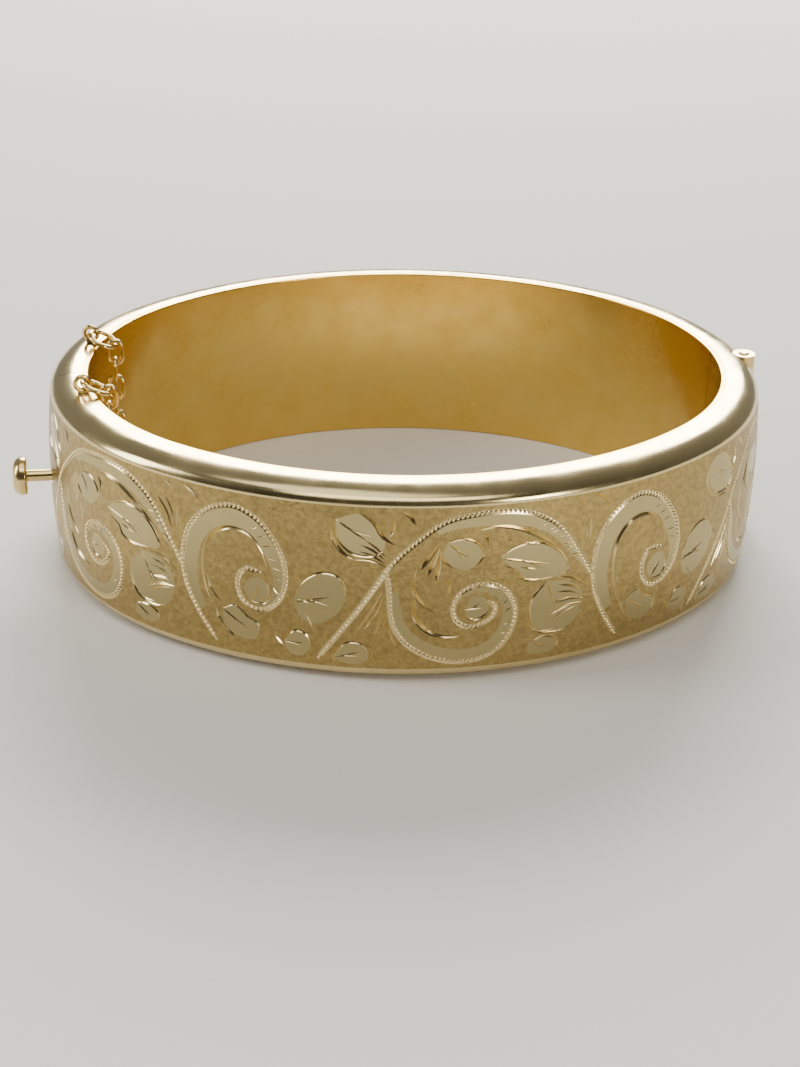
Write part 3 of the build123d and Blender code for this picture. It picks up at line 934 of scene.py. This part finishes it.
def beading(vines):
    """The beaded lines along the vines, lying in their channels."""
    points, edges, outward = [], [], []
    for vine in vines:
        start = len(points)
        depth = dome_depth(vine[:, 1]) - VINE_DEPTH
        place = fit_ends(vine[:, 0], depth)
        up = dome_slope(vine[:, 1])
        points += band_points(place, depth, vine[:, 1]).tolist()
        outward += band_normals(place, np.sqrt(1 - up**2), up).tolist()
        edges += [(start + i, start + i + 1) for i in range(len(vine) - 1)]
    values = {
        "Pitch": BEAD_PITCH * MM,
        "Bead size": tuple(side * MM for side in BEAD_SIZE),
        "Lean": math.radians(BEAD_LEAN),
        "Finish": painted_highlight_gold,
    }
    grow(
        "vine_beading", beading_tree(), points, edges, {"outward": outward}, values,
        "front_half",
    )


def link_tree():
    """Round-wire links with straight sides, one on each point."""
    tree, given = new_tree(
        "cable_chain",
        {"Link length": "Float", "Link width": "Float", "Wire": "Float", "Finish": "Material"},
    )
    long_run = add_node(
        tree,
        "ShaderNodeMath",
        {"operation": "SUBTRACT"},
        {0: given["Link length"], 1: given["Wire"]},
    )
    wide_run = add_node(
        tree,
        "ShaderNodeMath",
        {"operation": "SUBTRACT"},
        {0: given["Link width"], 1: given["Wire"]},
    )
    corner = add_node(
        tree, "ShaderNodeMath", {"operation": "MULTIPLY", 1: 0.4999}, {0: wide_run.outputs[0]}
    )
    frame_line = add_node(
        tree,
        "GeometryNodeCurvePrimitiveQuadrilateral",
        {},
        {"Width": long_run.outputs[0], "Height": wide_run.outputs[0]},
    )
    rounded = add_node(
        tree,
        "GeometryNodeFilletCurve",
        {"mode": "POLY", "Count": 10},
        {"Curve": frame_line.outputs[0], "Radius": corner.outputs[0]},
    )
    wire_radius = add_node(
        tree, "ShaderNodeMath", {"operation": "MULTIPLY", 1: 0.5}, {0: given["Wire"]}
    )
    section = add_node(
        tree,
        "GeometryNodeCurvePrimitiveCircle",
        {"Resolution": 14},
        {"Radius": wire_radius.outputs[0]},
    )
    link = add_node(
        tree,
        "GeometryNodeCurveToMesh",
        {},
        {"Curve": rounded.outputs[0], "Profile Curve": section.outputs[0]},
    )
    turn = add_node(
        tree, "GeometryNodeInputNamedAttribute", {"data_type": "FLOAT_VECTOR", "Name": "turn"}
    )
    rotation = add_node(
        tree, "FunctionNodeEulerToRotation", {}, {"Euler": turn.outputs["Attribute"]}
    )
    links = add_node(
        tree,
        "GeometryNodeInstanceOnPoints",
        {},
        {
            "Points": given["Geometry"],
            "Instance": link.outputs[0],
            "Rotation": rotation.outputs[0],
        },
    )
    finish_tree(tree, links.outputs[0], given)
    return tree


def link_place(node):
    """Centre of a link, and the turn that lays its long side on X and its flat side on XY."""
    shape = frame["nodes"][node].data
    size = np.empty(len(shape.polygons))
    places = np.empty(len(shape.polygons) * 3)
    shape.polygons.foreach_get("area", size)
    shape.polygons.foreach_get("center", places)
    places = places.reshape(-1, 3) / MM
    centre = np.average(places, axis=0, weights=size)
    _, axes = np.linalg.eigh(np.cov((places - centre).T, aweights=size))
    long_side, flat = axes[:, 2], axes[:, 0]
    wide = np.cross(flat, long_side)
    turn = Matrix(np.stack([long_side, wide, flat], 1).tolist()).to_euler()
    return centre, (turn.x, turn.y, turn.z)


# Materials ----------------------------------------------------------------------------------


def colour(code):
    """A linear colour from an sRGB hex code."""
    parts = [int(code[i : i + 2], 16) / 255 for i in (1, 3, 5)]
    linear = [p / 12.92 if p <= 0.04045 else ((p + 0.055) / 1.055) ** 2.4 for p in parts]
    return (*linear, 1.0)


def rolled_gold(name, base, deep, roughness, wear, worn=0.0, matting_and_face_shade=False):
    """Pale gold rolled on a base metal and polished on a wheel: sharp reflections, broken up by
    hairlines, soft dents and faint clouding, with a few brown specks where the gold is through.
    Matting is the graver's fine punched ground between the leaves, duller and yellower. With it,
    the face outside the cuts is also tinted a darker grey olive, painted shade standing in for its
    reflection of the shadowed floor in front; the cuts keep the bright tint."""
    material = bpy.data.materials.new(name)
    material.use_nodes = True
    tree = material.node_tree
    tree.nodes.clear()
    place = add_node(tree, "ShaderNodeTexCoord").outputs["Object"]
    cloud = add_node(
        tree,
        "ShaderNodeTexNoise",
        {"Scale": 1 / (5 * MM), "Detail": 5.0, "Roughness": 0.6},
        {"Vector": place},
    )
    tint = add_node(
        tree,
        "ShaderNodeMix",
        {"data_type": "RGBA", 6: colour(base), 7: colour(deep)},
        {"Factor": cloud.outputs["Fac"]},
    ).outputs[2]
    specks = add_node(
        tree,
        "ShaderNodeTexNoise",
        {"Scale": 1 / (1.4 * MM), "Detail": 3.0, "Roughness": 0.6},
        {"Vector": place},
    )
    through = add_node(
        tree,
        "ShaderNodeMapRange",
        {"From Min": 0.70, "From Max": 0.78, "To Min": 0.0, "To Max": worn},
        {"Value": specks.outputs["Fac"]},
    )
    tint = add_node(
        tree,
        "ShaderNodeMix",
        {"data_type": "RGBA", 7: colour("#6B4A2A")},
        {"Factor": through.outputs[0], 6: tint},
    ).outputs[2]
    gloss = add_node(
        tree,
        "ShaderNodeMapRange",
        {"From Min": 0.35, "From Max": 0.7, "To Min": roughness, "To Max": roughness + wear},
        {"Value": cloud.outputs["Fac"]},
    ).outputs[0]
    # hairlines about 0.1 mm apart, drawn out along the band
    along = add_node(
        tree, "ShaderNodeMapping", {"Scale": (1.0, 1.0, 10.0)}, {"Vector": place}
    )
    hairs = add_node(
        tree,
        "ShaderNodeTexNoise",
        {"Scale": 1 / (1.0 * MM), "Detail": 6.0, "Roughness": 0.75},
        {"Vector": along.outputs[0]},
    )
    dents = add_node(
        tree,
        "ShaderNodeTexNoise",
        {"Scale": 1 / (3.5 * MM), "Detail": 1.0, "Roughness": 0.4},
        {"Vector": place},
    )
    bent = add_node(
        tree,
        "ShaderNodeBump",
        {"Strength": 0.5, "Distance": 0.06 * MM},
        {"Height": dents.outputs["Fac"]},
    )
    bent = add_node(
        tree,
        "ShaderNodeBump",
        {"Strength": 0.25, "Distance": 0.012 * MM},
        {"Height": hairs.outputs["Fac"], "Normal": bent.outputs[0]},
    ).outputs[0]
    if matting_and_face_shade:
        level = add_node(tree, "ShaderNodeAttribute", {"attribute_name": "matting_and_shade"}).outputs["Fac"]
        # how much painted shade the face gets: most on the leaves and the ground, none on the cuts
        face = add_node(
            tree,
            "ShaderNodeMapRange",
            {"From Min": 0.0, "From Max": 0.5, "To Min": 0.0, "To Max": 0.8},
            {"Value": level},
        ).outputs[0]
        ground = add_node(
            tree, "ShaderNodeMapRange", {"From Min": 0.5, "From Max": 1.0}, {"Value": level}
        ).outputs[0]
        # punch marks 0.1 mm apart, drawn three times as coarse so that they show
        punches = add_node(
            tree,
            "ShaderNodeTexVoronoi",
            {"Scale": 1 / (0.3 * MM)},
            {"Vector": place},
        )
        punched = add_node(
            tree,
            "ShaderNodeMath",
            {"operation": "MULTIPLY"},
            {0: punches.outputs["Distance"], 1: ground},
        )
        bent = add_node(
            tree,
            "ShaderNodeBump",
            {"Strength": 0.6, "Distance": 0.05 * MM},
            {"Height": punched.outputs[0], "Normal": bent},
        ).outputs[0]
        gloss = add_node(
            tree,
            "ShaderNodeMath",
            {"operation": "MULTIPLY_ADD", 1: 0.16},
            {0: ground, 2: gloss},
        ).outputs[0]
        # painted shade: the leaves and the ground are tinted a darker grey olive, standing in for
        # the face's reflection of the shadowed floor in front
        tint = add_node(
            tree,
            "ShaderNodeMix",
            {"data_type": "RGBA", 7: colour("#A89A6C")},
            {"Factor": face, 6: tint},
        ).outputs[2]
        # the ground is mottled brown and yellow in patches of half a millimetre
        mottle = add_node(
            tree,
            "ShaderNodeTexNoise",
            {"Scale": 1 / (0.5 * MM), "Detail": 4.0, "Roughness": 0.7},
            {"Vector": place},
        )
        patchy = add_node(
            tree,
            "ShaderNodeMapRange",
            {"From Min": 0.35, "From Max": 0.65},
            {"Value": mottle.outputs["Fac"]},
        )
        earth = add_node(
            tree,
            "ShaderNodeMix",
            {"data_type": "RGBA", 6: colour("#B79D5F"), 7: colour("#8F7848")},
            {"Factor": patchy.outputs[0]},
        ).outputs[2]
        part = add_node(
            tree, "ShaderNodeMath", {"operation": "MULTIPLY", 1: 0.85}, {0: ground}
        ).outputs[0]
        tint = add_node(
            tree, "ShaderNodeMix", {"data_type": "RGBA"}, {"Factor": part, 6: tint, 7: earth}
        ).outputs[2]
    surface = add_node(
        tree,
        "ShaderNodeBsdfPrincipled",
        {"Metallic": 1.0},
        {"Base Color": tint, "Roughness": gloss, "Normal": bent},
    )
    add_node(tree, "ShaderNodeOutputMaterial", {}, {"Surface": surface.outputs[0]})
    return material


# name, light and deep tint, roughness, wear that clouds it, worn specks, matted ground with painted
# shade on the face
engraved_gold = rolled_gold("engraved_rolled_gold", "#E2D09E", "#D0B980", 0.14, 0.12, 0.8, True)
# the beads: the face's gold painted paler and brighter, a painted highlight for the glint of the
# bright cuts
painted_highlight_gold = rolled_gold("bead_gold_painted_highlight", "#F2DFA8", "#E6CC8C", 0.16, 0.06)
plain_gold = rolled_gold("plain_rolled_gold", "#E2D09E", "#D0B980", 0.12, 0.10, 0.6)
lining_gold = rolled_gold("lining_gold", "#E4C672", "#D2B050", 0.16, 0.14)
fitting_gold = rolled_gold("fitting_gold", "#E6CF92", "#D4B872", 0.18, 0.08)
chain_gold = rolled_gold("chain_gold", "#EAD192", "#D2B46C", 0.18, 0.10)
spring_gold = rolled_gold("spring_gold", "#D8BF84", "#C4A768", 0.28, 0.10)

# Pieces ---------------------------------------------------------------------------------------

face_cuts, face_vines, face_leaves = engraving()
front = shell(
    "engraved_front", "front_half", engraved_gold, False,
    face_cuts, face_leaves, True,
)
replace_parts(front, "front_shell")
beading(face_vines)
back = shell("plain_back", "back_half", plain_gold, True, [], [], False)
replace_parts(back, "back_shell")
front_lining = liner("front_lining", "front_half", lining_gold, False)
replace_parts(front_lining, "front_liner")
back_lining = liner("back_lining", "back_half", lining_gold, True)
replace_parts(back_lining, "back_liner")

BODY_OF = {
    node: body for body, nodes in frame["record"]["behaviour"]["bodies"].items() for node in nodes
}


def rounded_copy(node, material, limit):
    """A CAD piece's mesh, joined up and shaded smooth up to an angle, in place of the node."""
    mesh = frame["nodes"][node].data.copy()
    mesh.name = node + "_finish"
    shape = bmesh.new()
    shape.from_mesh(mesh)
    bmesh.ops.remove_doubles(shape, verts=shape.verts, dist=0.0005 * MM)
    for face in shape.faces:
        face.smooth = True
    for edge in shape.edges:
        edge.smooth = edge.calc_face_angle(0) < limit
    shape.to_mesh(mesh)
    shape.free()
    mesh.materials.clear()
    mesh.materials.append(material)
    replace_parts(place_piece(mesh.name, mesh, BODY_OF[node]), node)


FINISHES = {
    "front_jump": (chain_gold, "chain_gold"),
    "back_jump": (chain_gold, "chain_gold"),
    "front_eye": (chain_gold, "chain_gold"),
    "back_eye": (chain_gold, "chain_gold"),
    "snap": (spring_gold, "spring_gold"),
    "tongue": (spring_gold, "spring_gold"),
}
REMADE = ("front_shell", "back_shell", "front_liner", "back_liner")
# A bend sharper than this many degrees is shaded as an edge
EDGE_ANGLE = 40
for node in sorted(frame["nodes"]):
    if node in REMADE or node.startswith("chain_link"):
        continue
    material, slot_name = fitting_gold, "fitting_gold"
    for start, choice in FINISHES.items():
        if node.startswith(start):
            material, slot_name = choice
    rounded_copy(node, material, math.radians(EDGE_ANGLE))

cable_chain = link_tree()
for body, nodes in frame["record"]["behaviour"]["bodies"].items():
    chain_links = sorted(node for node in nodes if node.startswith("chain_link"))
    if chain_links:
        centres, turns = zip(*(link_place(node) for node in chain_links))
        values = {
            "Link length": LINK_LENGTH * MM,
            "Link width": LINK_WIDTH * MM,
            "Wire": LINK_WIRE * MM,
            "Finish": chain_gold,
        }
        strand = grow(
            "safety_chain_" + body, cable_chain, centres, [], {"turn": turns}, values,
            body,
        )
        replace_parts(strand, *chain_links)

# Studio -----------------------------------------------------------------------------------------


def paper_floor():
    """A plain sheet of pale paper, 2.4 m square."""
    mesh = bpy.data.meshes.new("paper_floor")
    reach = 1.2
    corners = [(-reach, -reach), (reach, -reach), (reach, reach), (-reach, reach)]
    mesh.from_pydata([(x, y, 0) for x, y in corners], [], [(0, 1, 2, 3)])
    floor = bpy.data.objects.new("paper_floor", mesh)
    bpy.context.scene.collection.objects.link(floor)
    material = bpy.data.materials.new("pale_paper")
    material.use_nodes = True
    surface = material.node_tree.nodes["Principled BSDF"]
    surface.inputs["Base Color"].default_value = colour("#E2E0DB")
    surface.inputs["Roughness"].default_value = 0.8
    mesh.materials.append(material)


def soft_light(name, place, aim, width, height, power, tint):
    """A rectangular soft light, with its sizes and places in metres and its power in watts."""
    light = bpy.data.lights.new(name, "AREA")
    light.shape = "RECTANGLE"
    light.size, light.size_y = width, height
    light.energy = power
    light.color = colour(tint)[:3]
    lamp = bpy.data.objects.new(name, light)
    bpy.context.scene.collection.objects.link(lamp)
    lamp.location = place
    lamp.rotation_euler = (Vector(aim) - Vector(place)).to_track_quat("-Z", "Y").to_euler()


paper_floor()
centre = (0, 0, MIDDLE * MM)
soft_light("back_window", (0.15, 0.7, 0.40), centre, 0.55, 0.32, 14.0, "#FFFDF8")
soft_light("overhead", (-0.1, -0.05, 0.55), centre, 0.3, 0.3, 0.5, "#FFFDF8")
soft_light("left_window", (-0.45, 0.02, 0.22), centre, 0.16, 0.3, 1.4, "#FFFDFA")
soft_light("front_right", (0.26, -0.42, 0.16), centre, 0.1, 0.16, 1.0, "#FFFBF2")
soft_light("front_above", (-0.05, -0.32, 0.58), centre, 0.5, 0.2, 1.2, "#FFF8EE")

world = bpy.data.worlds.new("studio")
world.use_nodes = True
sky = world.node_tree
sky.nodes.clear()
direction = add_node(sky, "ShaderNodeTexCoord").outputs["Generated"]
split = add_node(sky, "ShaderNodeSeparateXYZ", {}, {"Vector": direction})
# the room: pale above and behind, dark in front
shade = add_node(
    sky,
    "ShaderNodeMapRange",
    {"From Min": -0.6, "From Max": 0.6, "To Min": 0.06, "To Max": 0.28},
    {"Value": split.outputs["Y"]},
)
background = add_node(
    sky, "ShaderNodeBackground", {"Color": colour("#FBFAF6")}, {"Strength": shade.outputs[0]}
)
add_node(sky, "ShaderNodeOutputWorld", {}, {"Surface": background.outputs[0]})
bpy.context.scene.world = world


def camera():
    """The view from above the front, a little to the left of square on."""
    azimuth, elevation, roll = math.radians(-9.0), math.radians(26.2), math.radians(-1.4)
    distance, aim_right, aim_up = 186.8, 0.42, 8.33
    right = Vector((math.cos(azimuth), math.sin(azimuth), 0))
    back = Vector(
        (
            math.sin(azimuth) * math.cos(elevation),
            -math.cos(azimuth) * math.cos(elevation),
            math.sin(elevation),
        )
    )
    up = back.cross(right)
    tilted_right = right * math.cos(roll) - up * math.sin(roll)
    tilted_up = right * math.sin(roll) + up * math.cos(roll)
    place = Vector((0, 0, MIDDLE)) - tilted_right * aim_right - tilted_up * aim_up + back * distance
    lens = bpy.data.cameras.new("camera")
    lens.lens = 64.7
    lens.clip_start, lens.clip_end = 0.01, 10
    eye = bpy.data.objects.new("camera", lens)
    bpy.context.scene.collection.objects.link(eye)
    turn = Matrix((tilted_right, tilted_up, back)).transposed()
    eye.matrix_world = Matrix.Translation(place * MM) @ turn.to_4x4()
    bpy.context.scene.camera = eye


camera()
